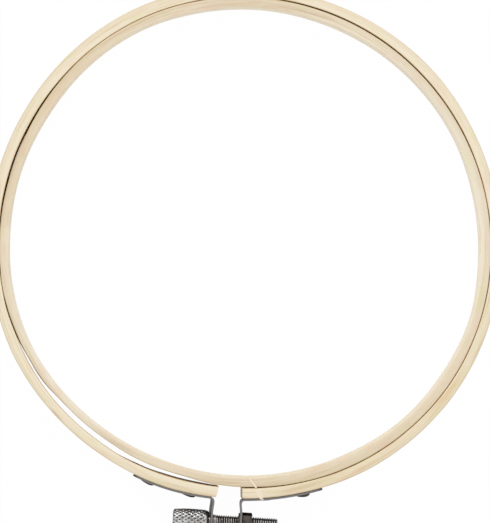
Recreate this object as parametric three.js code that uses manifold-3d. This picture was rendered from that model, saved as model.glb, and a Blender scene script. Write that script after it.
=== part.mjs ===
// Embroidery hoop: a closed inner ring, a split outer ring, and a screw clamp across the split.
// Millimetres, +Z up. The hoop lies flat, the clamp is on the -Y side and its screw runs along X.

import * as THREE from 'three';
import { mergeVertices } from 'three/addons/utils/BufferGeometryUtils.js';
import Module from 'manifold-3d';

const wasm = await Module();
wasm.setup();

// Rings
const innerRingBore = 144.3;
const innerRingThickness = 2.98;
const outerRingThickness = 3.43;
const ringPlay = 0.3;
const ringHeight = 9.5;
const ringEdgeRadius = 0.5;

// How far the bent strips stray from true circles, at even steps of angle from +X: the inner
// ring's bore, the joint between the rings, and the outer ring's rim
const boreStray = [
  0.27, -0.12, -0.01, -0.2, -0.34, -0.41, -0.16, 0.08, 0.47, 0.13, -0.38, -0.21,
  -0.18, 0.25, 0.37, -0.24, -0.7, -0.8, -0.57, -0.29, 0.08, 0.85, 0.94, 1.21,
];
const jointStray = [
  0.49, 0.07, -0.22, -0.33, -0.28, -0.2, 0.04, 0.2, 0.3, 0.11, -0.26, -0.36,
  -0.28, -0.06, -0.02, -0.11, -0.25, -0.34, -0.39, 0.05, 0.59, 0.88, 1.06, 0.86,
];
const rimStray = [
  -0.04, -0.45, -0.68, -0.54, -0.7, -0.71, -0.38, 0.04, 0.22, -0.01, -0.34, -0.42,
  -0.39, -0.49, -0.25, -0.45, -0.55, -0.34, -0.54, -0.38, 0.17, 0.38, 0.5, 0.31,
];

// The arc where the inner ring's lapped ends are planed thinner on their outside
const planedDepth = 0.95;
const planedAngle = -117.5;
const planedSpan = 59;
const planedRunOut = 15;

// The arc where the outer ring's inner face bows away from the inner ring
const bowDepth = 0.6;
const bowAngle = -137;
const bowSpan = 80;

// Both ends of the split lean the same way, as one saw cut leaves them
const splitLean = 2.6;

// Bracket strips: sheet, strap, bend and lug
const sheetThickness = 0.62;
const strapMargin = 0.75;
const strapCornerRadius = 2.2;
const bendRadius = 0.85;
const screwStandoff = 7.48;
const lugHoleClearance = 0.3;
const leftLugTwist = 4.2;
const seatGap = 0.06;

// Each side of the split, -1 left and 1 right. Its end and lug lie at a distance from the split's
// middle. The strap and its near rivet reach round the ring from there, and the far rivet lies
// back from the strap's end.
const leftSide = {
  sign: -1, endDistance: 3.42, endFlare: 10.9, lugDistance: 4.45, lugJog: 0.22,
  strapGap: 0.05, strapReach: 30.2, rivetReach: 12.2, rivetFromEnd: 4.8, headHeights: [0.55, 0.55],
};
const rightSide = {
  sign: 1, endDistance: 3.92, endFlare: 3.3, lugDistance: 3.62, lugJog: 0.33,
  strapGap: 0.12, strapReach: 29.2, rivetReach: 11.3, rivetFromEnd: 6.1, headHeights: [0.2, 0.85],
};

// Rivets
const rivetHeadRadius = 2.15;
const rivetHeadSkew = 0.45;
const rivetShankRadius = 0.9;
const rivetHoleClearance = 0.1;
const rivetEndRecess = 0.3;

// Thumb screw
const screwRadius = 2;
const screwLength = 21.05;
const screwEndChamfer = 0.5;
const neckRadius = 1.65;
const neckLength = 1.3;
const knobLength = 11.08;
const knobClearance = 0.22;

// Its barrel-shaped knurled head: over the ridges at both ends and at the belly between them
const knobEndRadius = 2.97;
const knobBellyRadius = 3.36;
const knobNeckSideRadius = 3.26;
const knobBellyPlace = 5.5;
const knobEndChamfer = 0.3;
const knobShoulderLength = 1.44;
const knobShoulderRadius = 2.6;
const knurlDepth = 0.34;
const knurlsAround = 16;
const knurlsAlong = 5;
const knurlRidgeWidth = 0.25;

// Nut held in the right lug by its flared collar
const nutAcrossFlats = 5.7;
const nutThickness = 3.15;
const nutTurn = -16;
const nutChamferHeight = 0.25;
const nutChamferReach = 0.5;
const nutThreadClearance = 0.1;
const collarWall = 0.45;
const flareRadius = 2.95;
const flareThickness = 0.38;

// Roundness of the facets
const ringSteps = 120;
const ringEdgeSteps = 2;
const holeSteps = 24;
const strapSteps = 8;
const bendSteps = 6;
const bendPasses = 4;
const jogSteps = 5;
const domeSteps = 5;
const knurlSamples = 4;
const shoulderSteps = 3;

// Worked out from the sizes above
const innerRingInside = innerRingBore / 2;
const innerRingOutside = innerRingInside + innerRingThickness;
const outerRingInside = innerRingOutside + ringPlay;
const outerRingOutside = outerRingInside + outerRingThickness;
const strapWidth = ringHeight - 2 * strapMargin;
const midHeight = ringHeight / 2;
const splitAngle = -Math.PI / 2;
const screwAxisY = -(rimRadius(splitAngle) + screwStandoff);
const knobFaceX = -lugOuterDistance(leftSide) - knobClearance;

function radians(degrees) {
  return THREE.MathUtils.degToRad(degrees);
}

// Distance from the split's middle to the lug's outer face, at the screw
function lugOuterDistance(side) {
  return side.lugDistance + side.lugJog + sheetThickness;
}

// Smooth curve through a table's values, which lie at even steps of angle from +X
function strayAt(table, angle) {
  const place = angle / (2 * Math.PI) * table.length;
  const start = Math.floor(place);
  const share = place - start;
  const value = (step) => table[THREE.MathUtils.euclideanModulo(start + step, table.length)];
  const slope = (step) => (value(step + 1) - value(step - 1)) / 2;
  const rest = 1 - share;
  return (1 + 2 * share) * rest * rest * value(0)
    + (1 + 2 * rest) * share * share * value(1)
    + share * rest * (rest * slope(0) - share * slope(1));
}

// One along an arc, falling smoothly to zero over the run-out at each of its ends
function arcShare(angle, middle, span, runOut) {
  const turn = 2 * Math.PI;
  const away = THREE.MathUtils.euclideanModulo(angle - radians(middle) + Math.PI, turn) - Math.PI;
  const end = radians(span / 2);
  return 1 - THREE.MathUtils.smoothstep(Math.abs(away), end - radians(runOut), end);
}

function innerRingOutsideStray(angle) {
  const planed = arcShare(angle, planedAngle, planedSpan, planedRunOut);
  return strayAt(jointStray, angle) - planedDepth * planed;
}

function outerRingInsideStray(angle) {
  const bowed = arcShare(angle, bowAngle, bowSpan, bowSpan / 2);
  return strayAt(jointStray, angle) + bowDepth * bowed;
}

function rimRadius(angle) {
  return outerRingOutside + strayAt(rimStray, angle);
}

// Angle on the outer ring at a reach from the split's middle, on one side
function angleAtReach(side, reach) {
  return splitAngle + side.sign * reach / outerRingOutside;
}

function rivetReaches(side) {
  return [side.rivetReach, side.strapReach - side.rivetFromEnd];
}

// Solids for cutting and joining
function solidFrom(geometry) {
  const bare = geometry.clone();
  for (const name of Object.keys(bare.attributes)) {
    if (name !== 'position') bare.deleteAttribute(name);
  }
  const merged = mergeVertices(bare);
  return new wasm.Manifold(new wasm.Mesh({
    numProp: 3,
    vertProperties: new Float32Array(merged.attributes.position.array),
    triVerts: new Uint32Array(merged.index.array),
  }));
}

function geometryFrom(solid) {
  const { numProp, vertProperties, triVerts } = solid.getMesh();
  const positions = new Float32Array(vertProperties.length / numProp * 3);
  for (let i = 0; i < positions.length / 3; i++) {
    for (let axis = 0; axis < 3; axis++) positions[3 * i + axis] = vertProperties[numProp * i + axis];
  }
  const geometry = new THREE.BufferGeometry();
  geometry.setAttribute('position', new THREE.BufferAttribute(positions, 3));
  geometry.setIndex([...triVerts]);
  return geometry;
}

// A round bar between two distances along its own +Z axis
function roundBar(radius, from, to) {
  const bar = new THREE.CylinderGeometry(radius, radius, to - from, holeSteps);
  bar.rotateX(Math.PI / 2);
  return bar.translate(0, 0, (from + to) / 2);
}

// Frame on the outer ring: x runs round the ring, y runs up, z points away from the hoop's middle
function ringFrame(angle) {
  const outward = new THREE.Vector3(Math.cos(angle), Math.sin(angle), 0);
  const around = new THREE.Vector3(-Math.sin(angle), Math.cos(angle), 0);
  const frame = new THREE.Matrix4().makeBasis(around, new THREE.Vector3(0, 0, 1), outward);
  return frame.setPosition(0, 0, midHeight);
}

function alongScrew(geometry) {
  return geometry.rotateY(Math.PI / 2).translate(0, screwAxisY, midHeight);
}

// Section of a ring: a rectangle with rounded edges, as a closed profile
function ringSection(inside, outside) {
  const r = ringEdgeRadius;
  const corners = [
    { x: outside - r, y: r, from: -90 },
    { x: outside - r, y: ringHeight - r, from: 0 },
    { x: inside + r, y: ringHeight - r, from: 90 },
    { x: inside + r, y: r, from: 180 },
  ];
  const points = [];
  for (const { x, y, from } of corners) {
    for (let step = 0; step <= ringEdgeSteps; step++) {
      const angle = radians(from + 90 * step / ringEdgeSteps);
      points.push(new THREE.Vector2(x + r * Math.cos(angle), y + r * Math.sin(angle)));
    }
  }
  points.push(points[0].clone());
  return points;
}

// A ring turned from its section, then drawn out of round by moving each point along its radius,
// by as much as the nearer face strays
function strayingRing(inside, outside, insideStray, outsideStray) {
  const ring = new THREE.LatheGeometry(ringSection(inside, outside), ringSteps);
  ring.rotateX(Math.PI / 2);
  const position = ring.attributes.position;
  for (let i = 0; i < position.count; i++) {
    const angle = Math.atan2(position.getY(i), position.getX(i));
    const radius = Math.hypot(position.getX(i), position.getY(i));
    const nearness = (radius - inside) / (outside - inside);
    const stray = THREE.MathUtils.lerp(insideStray(angle), outsideStray(angle), nearness);
    const share = (radius + stray) / radius;
    position.setXY(i, position.getX(i) * share, position.getY(i) * share);
  }
  return solidFrom(ring);
}

function innerRing() {
  const bore = (angle) => strayAt(boreStray, angle);
  return geometryFrom(strayingRing(innerRingInside, innerRingOutside, bore, innerRingOutsideStray));
}

// The wedge that parts the outer ring's two ends
function splitWedge() {
  const near = outerRingInside - outerRingThickness;
  const far = outerRingOutside + outerRingThickness;
  const corner = (side, radius) => {
    const flare = (radius - outerRingInside) * Math.tan(radians(side.endFlare));
    return new THREE.Vector2(side.sign * (side.endDistance + flare), -radius);
  };
  const wedge = new THREE.Shape([
    corner(leftSide, near),
    corner(leftSide, far),
    corner(rightSide, far),
    corner(rightSide, near),
  ]);
  const depth = 2 * ringHeight;
  const geometry = new THREE.ExtrudeGeometry(wedge, { depth, bevelEnabled: false });
  geometry.translate(0, 0, -depth / 2);
  const lean = new THREE.Matrix4().makeShear(0, 0, 0, 0, Math.tan(radians(splitLean)), 0);
  return solidFrom(geometry.applyMatrix4(lean).translate(0, 0, midHeight));
}

// A drilling for a rivet, straight through strap and ring
function rivetHole(side, reach) {
  const hole = roundBar(
    rivetShankRadius + rivetHoleClearance,
    outerRingInside - outerRingThickness,
    outerRingOutside + outerRingThickness,
  );
  return solidFrom(hole.applyMatrix4(ringFrame(angleAtReach(side, reach))));
}

function outerRing() {
  const rim = (angle) => strayAt(rimStray, angle);
  let solid = strayingRing(outerRingInside, outerRingOutside, outerRingInsideStray, rim);
  solid = solid.subtract(splitWedge());
  for (const side of [leftSide, rightSide]) {
    for (const reach of rivetReaches(side)) solid = solid.subtract(rivetHole(side, reach));
  }
  return geometryFrom(solid);
}

// Middle line of a bracket's sheet: round the ring, through the bend and down the lug
function bracketLine(side) {
  const strapRadius = (angle) => rimRadius(angle) + side.strapGap + sheetThickness / 2;
  const bend = bendRadius + sheetThickness / 2;
  const lugDistance = side.lugDistance + sheetThickness / 2;
  let bendStart = 0;
  for (let pass = 0; pass < bendPasses; pass++) {
    const reach = strapRadius(splitAngle + side.sign * bendStart) + bend;
    bendStart = Math.asin((lugDistance + bend) / reach);
  }
  const strapEnd = side.strapReach / outerRingOutside;
  const line = [];
  for (let step = 0; step < strapSteps; step++) {
    const away = THREE.MathUtils.lerp(strapEnd, bendStart, step / strapSteps);
    const radius = strapRadius(splitAngle + side.sign * away);
    line.push(new THREE.Vector2(radius * Math.sin(away), -radius * Math.cos(away)));
  }
  const bendCentre = strapRadius(splitAngle + side.sign * bendStart) + bend;
  const centreX = bendCentre * Math.sin(bendStart);
  const centreY = -bendCentre * Math.cos(bendStart);
  for (let step = 0; step <= bendSteps; step++) {
    const turn = THREE.MathUtils.lerp(Math.PI / 2 + bendStart, Math.PI, step / bendSteps);
    line.push(new THREE.Vector2(centreX + bend * Math.cos(turn), centreY + bend * Math.sin(turn)));
  }
  const lugEnd = screwAxisY - strapWidth / 2;
  const jogEnd = screwAxisY + flareRadius + seatGap;
  for (let step = 1; step <= jogSteps; step++) {
    const share = step / jogSteps;
    const x = lugDistance + side.lugJog * THREE.MathUtils.smoothstep(share, 0, 1);
    line.push(new THREE.Vector2(x, THREE.MathUtils.lerp(centreY, jogEnd, share)));
  }
  line.push(new THREE.Vector2(lugDistance + side.lugJog, lugEnd));
  return line;
}

// The sheet's edge outline, half a thickness to each side of its middle line
function sheetOutline(line) {
  const half = sheetThickness / 2;
  const nearEdge = [];
  const farEdge = [];
  line.forEach((point, i) => {
    const before = line[Math.max(i - 1, 0)];
    const after = line[Math.min(i + 1, line.length - 1)];
    const along = after.clone().sub(before).normalize();
    const across = new THREE.Vector2(-along.y, along.x).multiplyScalar(half);
    nearEdge.push(point.clone().add(across));
    farEdge.push(point.clone().sub(across));
  });
  return new THREE.Shape([...nearEdge, ...farEdge.reverse()]);
}

// Turns the lug a little about its own length, below the bend
function twistLug(geometry, line, side, degrees) {
  const slope = Math.tan(radians(degrees));
  const bendFoot = line[strapSteps + bendSteps];
  const position = geometry.attributes.position;
  for (let i = 0; i < position.count; i++) {
    const isLug = position.getY(i) <= bendFoot.y + bendRadius / 2
      && position.getX(i) < bendFoot.x + sheetThickness;
    if (!isLug) continue;
    position.setX(i, position.getX(i) + side.sign * slope * (position.getZ(i) - midHeight));
  }
}

// Side view of the whole bracket, with the lug's end round about the screw
function lugEnvelope(side) {
  const reach = side.strapReach + outerRingThickness;
  const envelope = new THREE.Shape();
  envelope.moveTo(0, midHeight + strapWidth / 2);
  envelope.lineTo(screwAxisY, midHeight + strapWidth / 2);
  envelope.absarc(screwAxisY, midHeight, strapWidth / 2, Math.PI / 2, 3 * Math.PI / 2, false);
  envelope.lineTo(0, midHeight - strapWidth / 2);
  const options = { depth: reach, bevelEnabled: false, curveSegments: holeSteps / 2 };
  const geometry = new THREE.ExtrudeGeometry(envelope, options);
  const toRow = new THREE.Matrix4().makeBasis(
    new THREE.Vector3(0, 1, 0),
    new THREE.Vector3(0, 0, 1),
    new THREE.Vector3(1, 0, 0),
  );
  geometry.applyMatrix4(toRow);
  if (side.sign < 0) geometry.translate(-reach, 0, 0);
  return solidFrom(geometry);
}

// What is cut away to round one corner of the strap's free end
function strapCorner(side, up) {
  const r = strapCornerRadius;
  const spare = sheetThickness;
  const corner = new THREE.Shape();
  corner.moveTo(-r, spare);
  corner.lineTo(-r, 0);
  corner.absarc(-r, -r, r, Math.PI / 2, 0, true);
  corner.lineTo(spare, -r);
  corner.lineTo(spare, spare);
  corner.closePath();
  const depth = 4 * outerRingThickness;
  const options = { depth, bevelEnabled: false, curveSegments: holeSteps / 4 };
  const geometry = new THREE.ExtrudeGeometry(corner, options);
  geometry.translate(0, strapWidth / 2, outerRingOutside - depth / 2);
  const flip = new THREE.Matrix4().makeScale(side.sign, up, 1);
  geometry.applyMatrix4(flip);
  const mirrored = side.sign * up < 0;
  if (mirrored) reverseFaces(geometry);
  return solidFrom(geometry.applyMatrix4(ringFrame(angleAtReach(side, side.strapReach))));
}

// Turns a mirrored body's faces outwards again
function reverseFaces(geometry) {
  const position = geometry.attributes.position;
  const a = new THREE.Vector3();
  const b = new THREE.Vector3();
  for (let i = 0; i < position.count; i += 3) {
    a.fromBufferAttribute(position, i);
    b.fromBufferAttribute(position, i + 1);
    position.setXYZ(i, b.x, b.y, b.z);
    position.setXYZ(i + 1, a.x, a.y, a.z);
  }
}

function bracket(side, twist, screwHoleRadius) {
  const line = bracketLine(side);
  const options = { depth: strapWidth, bevelEnabled: false };
  const sheet = new THREE.ExtrudeGeometry(sheetOutline(line), options);
  sheet.translate(0, 0, midHeight - strapWidth / 2);
  if (twist) twistLug(sheet, line, side, twist);
  sheet.applyMatrix4(new THREE.Matrix4().makeScale(side.sign, 1, 1));
  if (side.sign < 0) reverseFaces(sheet);
  let solid = solidFrom(sheet).intersect(lugEnvelope(side));
  for (const up of [-1, 1]) solid = solid.subtract(strapCorner(side, up));
  for (const reach of rivetReaches(side)) solid = solid.subtract(rivetHole(side, reach));
  const hole = roundBar(screwHoleRadius, -side.strapReach, side.strapReach);
  return geometryFrom(solid.subtract(solidFrom(alongScrew(hole))));
}

// A rivet through strap and ring, its domed head leaning a little to one side
function rivet(side, place) {
  const angle = angleAtReach(side, rivetReaches(side)[place]);
  const headFoot = rimRadius(angle) + side.strapGap + sheetThickness + seatGap;
  const shankEnd = outerRingInside + outerRingInsideStray(angle) + rivetEndRecess;
  const profile = [new THREE.Vector2(0, shankEnd), new THREE.Vector2(rivetShankRadius, shankEnd)];
  profile.push(new THREE.Vector2(rivetShankRadius, headFoot));
  for (let step = 0; step <= domeSteps; step++) {
    const turn = step / domeSteps * Math.PI / 2;
    profile.push(new THREE.Vector2(
      rivetHeadRadius * Math.cos(turn),
      headFoot + side.headHeights[place] * Math.sin(turn),
    ));
  }
  profile[profile.length - 1].x = 0;
  const geometry = new THREE.LatheGeometry(profile, holeSteps);
  const position = geometry.attributes.position;
  for (let i = 0; i < position.count; i++) {
    const rise = Math.max(position.getY(i) - headFoot, 0);
    const lean = 1 + rivetHeadSkew * position.getX(i) / rivetHeadRadius;
    if (rise > 0) position.setY(i, headFoot + rise * lean);
  }
  geometry.rotateX(Math.PI / 2);
  return geometryFrom(solidFrom(geometry.applyMatrix4(ringFrame(angle))));
}

// A body turned about X and closed on its axis at both ends. A station's radius may change with
// the angle, and each patch is split along its higher diagonal, so that ridges stay crisp.
function turnedBody(stations, columns) {
  const positions = [];
  const radiusOf = (station, column) => station.radius(2 * Math.PI * column / columns);
  for (const station of stations) {
    for (let column = 0; column < columns; column++) {
      const angle = 2 * Math.PI * column / columns;
      const radius = radiusOf(station, column);
      positions.push(station.x, radius * Math.cos(angle), radius * Math.sin(angle));
    }
  }
  const last = stations.length - 1;
  const firstCentre = stations.length * columns;
  const lastCentre = firstCentre + 1;
  positions.push(stations[0].x, 0, 0, stations[last].x, 0, 0);
  const faces = [];
  for (let column = 0; column < columns; column++) {
    const next = (column + 1) % columns;
    faces.push(firstCentre, next, column);
    faces.push(lastCentre, last * columns + column, last * columns + next);
    for (let row = 0; row < last; row++) {
      const a = row * columns + column;
      const b = (row + 1) * columns + column;
      const c = (row + 1) * columns + next;
      const d = row * columns + next;
      const rising = radiusOf(stations[row], column) + radiusOf(stations[row + 1], next);
      const falling = radiusOf(stations[row + 1], column) + radiusOf(stations[row], next);
      if (rising > falling) faces.push(a, d, c, a, c, b);
      else faces.push(a, d, b, d, c, b);
    }
  }
  const geometry = new THREE.BufferGeometry();
  geometry.setAttribute('position', new THREE.Float32BufferAttribute(positions, 3));
  geometry.setIndex(faces);
  return geometry;
}

// One on a ridge and zero half way to the next
function ridgeWave(turns) {
  const share = turns - Math.floor(turns);
  return Math.min(1, (1 + knurlRidgeWidth) * (1 - Math.abs(2 * share - 1)));
}

// Depth below the head's outline: two sets of ridges that cross and leave sunken diamonds
function knurlSink(angle, along) {
  const around = knurlsAround * angle / (2 * Math.PI);
  return knurlDepth * (1 - Math.max(ridgeWave(around + along), ridgeWave(around - along)));
}

// Barrel outline of the head, at a distance from its outer end
function knobOutline(distance) {
  const shoulderPlace = knobLength - knobShoulderLength;
  const outer = distance < knobBellyPlace;
  const share = (distance - knobBellyPlace) / ((outer ? 0 : shoulderPlace) - knobBellyPlace);
  const drop = knobBellyRadius - (outer ? knobEndRadius : knobNeckSideRadius);
  return knobBellyRadius - drop * share * share;
}

// Knurled head, plain neck and shank, from the head's outer end to the tip
function thumbScrew() {
  const headX = knobFaceX - knobLength;
  const knurlStart = headX + knobEndChamfer;
  const knurlEnd = knobFaceX - knobShoulderLength;
  const neckEnd = knobFaceX + neckLength;
  const tipX = knobFaceX + screwLength;
  const plain = (x, radius) => ({ x, radius: () => radius });
  const stations = [plain(headX, knobEndRadius - knurlDepth - knobEndChamfer)];
  const rows = knurlsAlong * knurlSamples;
  for (let row = 0; row <= rows; row++) {
    const along = row / knurlSamples;
    const x = THREE.MathUtils.lerp(knurlStart, knurlEnd, row / rows);
    const outline = knobOutline(x - headX);
    stations.push({ x, radius: (angle) => outline - knurlSink(angle, along) });
  }
  for (let step = 1; step <= shoulderSteps; step++) {
    const share = step / shoulderSteps;
    const drop = (knobNeckSideRadius - knobShoulderRadius) * share * share;
    const x = THREE.MathUtils.lerp(knurlEnd, knobFaceX, share);
    stations.push(plain(x, knobNeckSideRadius - drop));
  }
  stations.push(plain(knobFaceX, neckRadius));
  stations.push(plain(neckEnd - (screwRadius - neckRadius), neckRadius));
  stations.push(plain(neckEnd, screwRadius));
  stations.push(plain(tipX - screwEndChamfer, screwRadius));
  stations.push(plain(tipX, screwRadius - screwEndChamfer));
  const geometry = turnedBody(stations, knurlsAround * knurlSamples);
  return geometry.translate(0, screwAxisY, midHeight);
}

// A hexagon with its outer rim chamfered, one piece with the collar that is flared inside the lug
function clampNut() {
  const cornerRadius = nutAcrossFlats / 2 / Math.cos(Math.PI / 6);
  const hexagon = new THREE.CylinderGeometry(cornerRadius, cornerRadius, nutThickness, 6);
  hexagon.rotateX(Math.PI / 2).rotateZ(radians(nutTurn)).translate(0, 0, nutThickness / 2);
  const rim = new THREE.LatheGeometry([
    new THREE.Vector2(0, 0),
    new THREE.Vector2(cornerRadius, 0),
    new THREE.Vector2(cornerRadius, nutThickness - nutChamferHeight),
    new THREE.Vector2(cornerRadius - nutChamferReach, nutThickness),
    new THREE.Vector2(0, nutThickness),
  ], 2 * holeSteps).rotateX(Math.PI / 2);
  const boreRadius = screwRadius + nutThreadClearance;
  const collarRadius = boreRadius + collarWall;
  const flareFace = -(sheetThickness + seatGap);
  const collar = new THREE.LatheGeometry([
    new THREE.Vector2(0, flareFace - flareThickness),
    new THREE.Vector2(flareRadius - flareThickness / 2, flareFace - flareThickness),
    new THREE.Vector2(flareRadius, flareFace - flareThickness / 2),
    new THREE.Vector2(flareRadius, flareFace),
    new THREE.Vector2(collarRadius, flareFace),
    new THREE.Vector2(collarRadius, nutThickness / 2),
    new THREE.Vector2(0, nutThickness / 2),
  ], holeSteps).rotateX(Math.PI / 2);
  const bore = roundBar(boreRadius, -nutThickness, 2 * nutThickness);
  const solid = solidFrom(hexagon).intersect(solidFrom(rim)).add(solidFrom(collar));
  const geometry = geometryFrom(solid.subtract(solidFrom(bore)));
  return alongScrew(geometry).translate(lugOuterDistance(rightSide), 0, 0);
}

// Materials
function bamboo(color) {
  return new THREE.MeshStandardMaterial({ color, roughness: 0.62, metalness: 0 });
}

function steel(color, roughness) {
  return new THREE.MeshStandardMaterial({ color, roughness, metalness: 1 });
}

function part(name, geometry, material) {
  const mesh = new THREE.Mesh(geometry, material);
  mesh.name = name;
  return mesh;
}

// Assembly, then moved so that the origin is under the middle of the whole part
const group = new THREE.Group();
const leftHoleRadius = screwRadius + lugHoleClearance;
const rightHoleRadius = screwRadius + nutThreadClearance + collarWall + seatGap;
group.add(
  part('inner_ring', innerRing(), bamboo(0xe2d2b4)),
  part('outer_ring', outerRing(), bamboo(0xeee0c6)),
  part('left_bracket', bracket(leftSide, leftLugTwist, leftHoleRadius), steel(0x9a9a9c, 0.35)),
  part('right_bracket', bracket(rightSide, 0, rightHoleRadius), steel(0xa0a0a2, 0.35)),
  part('left_rivet_near', rivet(leftSide, 0), steel(0x8c8c8e, 0.4)),
  part('left_rivet_far', rivet(leftSide, 1), steel(0x8c8c8e, 0.4)),
  part('right_rivet_near', rivet(rightSide, 0), steel(0x9c9c9e, 0.35)),
  part('right_rivet_far', rivet(rightSide, 1), steel(0x9c9c9e, 0.35)),
  part('thumb_screw', thumbScrew(), steel(0x8f8f90, 0.38)),
  part('clamp_nut', clampNut(), steel(0x5c5552, 0.4)),
);
const box = new THREE.Box3().setFromObject(group);
const middle = box.getCenter(new THREE.Vector3());
group.position.set(-middle.x, -middle.y, -box.min.z);

export default group;
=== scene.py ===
import math

import bmesh
import bpy
import numpy as np
from mathutils import Matrix, Vector, noise


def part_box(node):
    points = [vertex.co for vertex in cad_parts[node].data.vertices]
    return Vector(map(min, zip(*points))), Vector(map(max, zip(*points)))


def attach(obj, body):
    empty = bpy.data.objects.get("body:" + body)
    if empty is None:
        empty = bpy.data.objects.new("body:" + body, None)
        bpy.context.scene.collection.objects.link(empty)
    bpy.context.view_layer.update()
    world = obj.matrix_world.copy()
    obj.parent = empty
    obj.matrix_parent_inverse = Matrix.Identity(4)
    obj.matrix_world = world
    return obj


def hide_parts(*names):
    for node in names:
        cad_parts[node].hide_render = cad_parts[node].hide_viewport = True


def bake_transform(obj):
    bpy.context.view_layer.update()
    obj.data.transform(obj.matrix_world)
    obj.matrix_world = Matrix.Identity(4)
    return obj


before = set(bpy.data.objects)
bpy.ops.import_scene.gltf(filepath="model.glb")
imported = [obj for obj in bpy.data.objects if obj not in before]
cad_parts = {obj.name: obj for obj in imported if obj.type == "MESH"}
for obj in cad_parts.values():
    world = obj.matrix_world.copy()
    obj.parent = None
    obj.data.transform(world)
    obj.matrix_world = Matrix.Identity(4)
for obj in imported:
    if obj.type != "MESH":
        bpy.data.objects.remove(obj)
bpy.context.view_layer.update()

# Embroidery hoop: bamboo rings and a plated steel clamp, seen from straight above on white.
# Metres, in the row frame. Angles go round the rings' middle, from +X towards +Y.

MM = 0.001

# Rings, as they are in the CAD model
INNER_INSIDE = 72.15 * MM
INNER_OUTSIDE = 75.13 * MM
OUTER_INSIDE = 75.43 * MM
OUTER_OUTSIDE = 78.86 * MM
EDGE_RADIUS = 0.5 * MM

# How far their faces stray from true circles, in millimetres at even steps of angle
BORE_STRAY = [
    0.27, -0.12, -0.01, -0.2, -0.34, -0.41, -0.16, 0.08, 0.47, 0.13, -0.38, -0.21,
    -0.18, 0.25, 0.37, -0.24, -0.7, -0.8, -0.57, -0.29, 0.08, 0.85, 0.94, 1.21]
JOINT_STRAY = [
    0.49, 0.07, -0.22, -0.33, -0.28, -0.2, 0.04, 0.2, 0.3, 0.11, -0.26, -0.36,
    -0.28, -0.06, -0.02, -0.11, -0.25, -0.34, -0.39, 0.05, 0.59, 0.88, 1.06, 0.86]
RIM_STRAY = [
    -0.04, -0.45, -0.68, -0.54, -0.7, -0.71, -0.38, 0.04, 0.22, -0.01, -0.34, -0.42,
    -0.39, -0.49, -0.25, -0.45, -0.55, -0.34, -0.54, -0.38, 0.17, 0.38, 0.5, 0.31]

# How wide the crack between the rings is at the same angles, before the two arcs below
CRACK = [
    0.22, 0.16, 0.28, 0.33, 0.35, 0.39, 0.28, 0.15, 0.09, 0.11, 0.5, 0.68,
    0.28, 0.11, 0.17, 0.17, 0.3, 0.4, 0.38, 0.18, 0.18, 0.15, 0.16, 0.15]
CRACK_MIDDLE = (OUTER_INSIDE - INNER_OUTSIDE) / 2

# Where the inner ring's lapped ends are planed thinner, and where the outer ring bows away
PLANED_DEPTH, PLANED_ANGLE = 0.95 * MM, math.radians(-117.5)
PLANED_SPAN, PLANED_RUN_OUT = math.radians(59), math.radians(15)
BOW_DEPTH, BOW_ANGLE, BOW_SPAN = 0.6 * MM, math.radians(-137), math.radians(80)

# Small marks of hand work on the faces in the crack, as (start, full, full, end, amount), in
# degrees and millimetres: the inner ring's lap ends in a blunt tip, and the faces lean where
# they were planed, as far outwards as this at the foot
INNER_SHIFTS = [
    (-170, -167, -165, -161, 0.1), (-160, -153, -150, -141, -0.24),
    (-153, -146, -122, -112, -0.27), (-100, -95, -95, -90, 0.15), (150, 157, 168, 176, -0.05)]
INNER_LEANS = [
    (-162, -157, -154, -145, 0.7), (-154, -146, -142, -136, 0.15),
    (-152, -144, -130, -118, 0.4), (-104, -98, -98, -92, 0.15), (138, 150, 168, 178, 0.5)]
OUTER_SHIFTS = [(-162, -153, -126, -112, -0.4), (150, 157, 168, 175, -0.06)]
OUTER_LEANS = [
    (-162, -152, -118, -112, 0.35), (-110, -105, -98, -92, -0.2), (148, 156, 170, 177, -0.15)]

# The split: each end's distance from the middle, how far it flares outwards, and how much of
# its outer upper corner is broken off. Both lean the same way.
SPLIT_ANGLE = math.radians(-90)
TOP_ANGLE = math.radians(90)
LEFT_END = (-1, 3.42 * MM, math.radians(10.9), 0.1 * MM)
RIGHT_END = (1, 3.92 * MM, math.radians(3.3), 0.5 * MM)
SPLIT_LEAN = math.radians(2.6)

# The broken corner: how far in from the rim and how deep it reaches, and where it starts
CHIP_REACH, CHIP_DEPTH, CHIP_TOP = 0.7 * MM, 2.4 * MM, 0.4 * MM

# How far sanding by hand moves the faces out and up, in long waves and in short ones
SANDED_OUT, SANDED_UP, SANDED_UP_SHORT = 0.03 * MM, 0.035 * MM, 0.02 * MM

# Smoothness of the rings
RING_STEPS = 720
EDGE_STEPS = 5
FLAT_STEPS = 5

RING_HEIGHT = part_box("outer_ring")[1].z
MID_HEIGHT = RING_HEIGHT / 2
STRAP_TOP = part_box("right_bracket")[1].z

# The left lug is twisted by this slope from its bend down
LUG_TWIST = math.tan(math.radians(4.2))
LUG_TOP_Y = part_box("left_bracket")[0].y + 10.64 * MM
LUG_TOP_X, TWIST_FADE_X = -5.0 * MM, -13.0 * MM

# Broken edges of the clamp's pieces, and how worn the brackets' level faces are beside them
BRACKET_EDGE, RIVET_EDGE, NUT_EDGE = 0.13 * MM, 0.08 * MM, 0.2 * MM
BRACKET_LEVEL_WEAR = 0.85
SHARP_ANGLE = 0.6

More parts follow.
